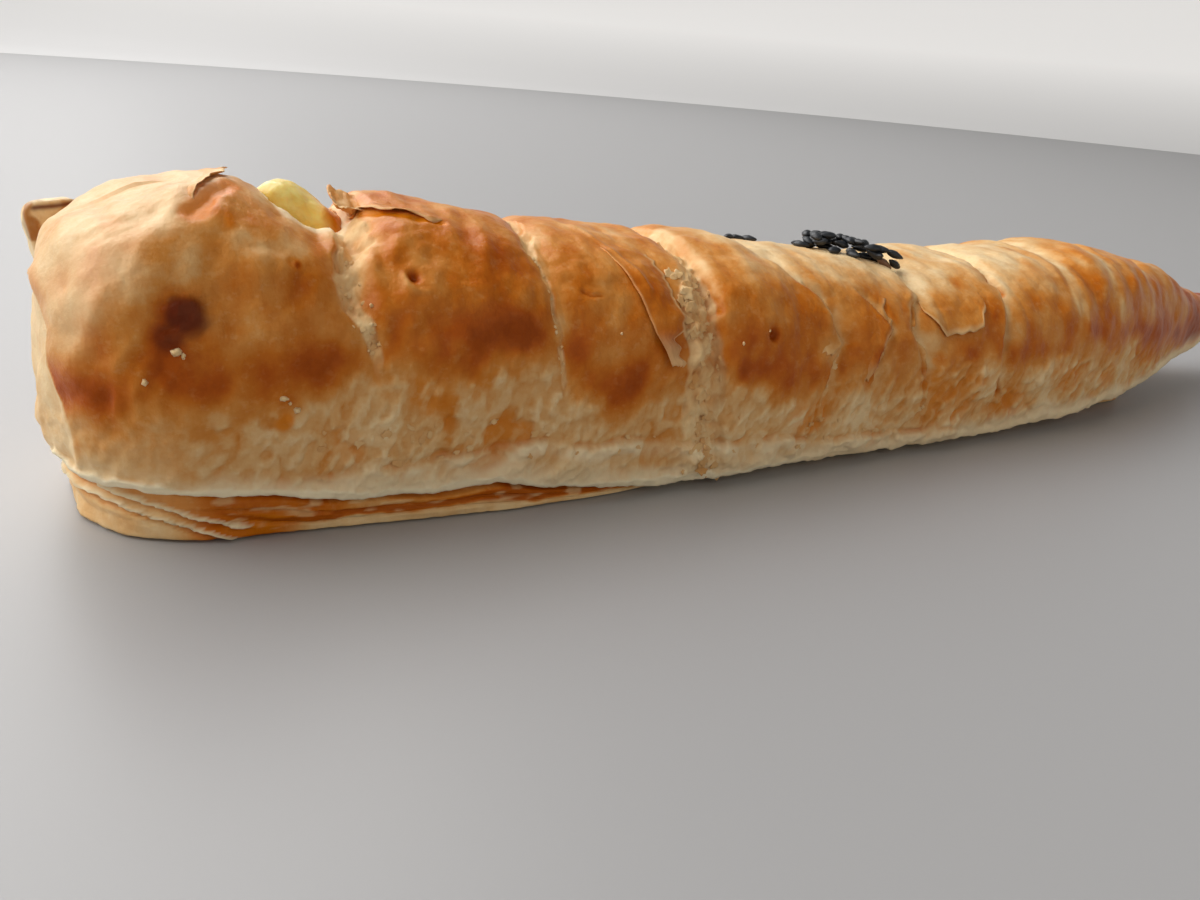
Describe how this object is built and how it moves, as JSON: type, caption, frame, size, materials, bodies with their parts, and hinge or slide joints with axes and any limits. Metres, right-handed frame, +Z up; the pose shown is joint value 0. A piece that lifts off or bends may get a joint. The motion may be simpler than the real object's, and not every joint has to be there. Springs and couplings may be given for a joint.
{
  "type": "pastry stick",
  "caption": "Long slashed puff-pastry stick with a domed browned top sheet, a flat base sheet, a yellow filling core and a pinch of black sesame.",
  "frame": {"origin": "centre of the bounding box's underside, on the surface the stick lies on", "axes": "+X along the stick from the blunt end to the pinched end, +Y across it, +Z up"},
  "size_m": [0.2274, 0.0486, 0.0388],
  "materials": {
    "browned_pastry": "egg-washed browned puff pastry, satin, standing in for food",
    "base_pastry": "flaky baked dough, matt, standing in for food",
    "yellow_filling": "soft yellow cooked filling, moist, standing in for food"
  },
  "bodies": {
    "root": {"crust_top": "browned_pastry", "crust_base": "base_pastry", "filling": "yellow_filling"}
  },
  "joints": []
}
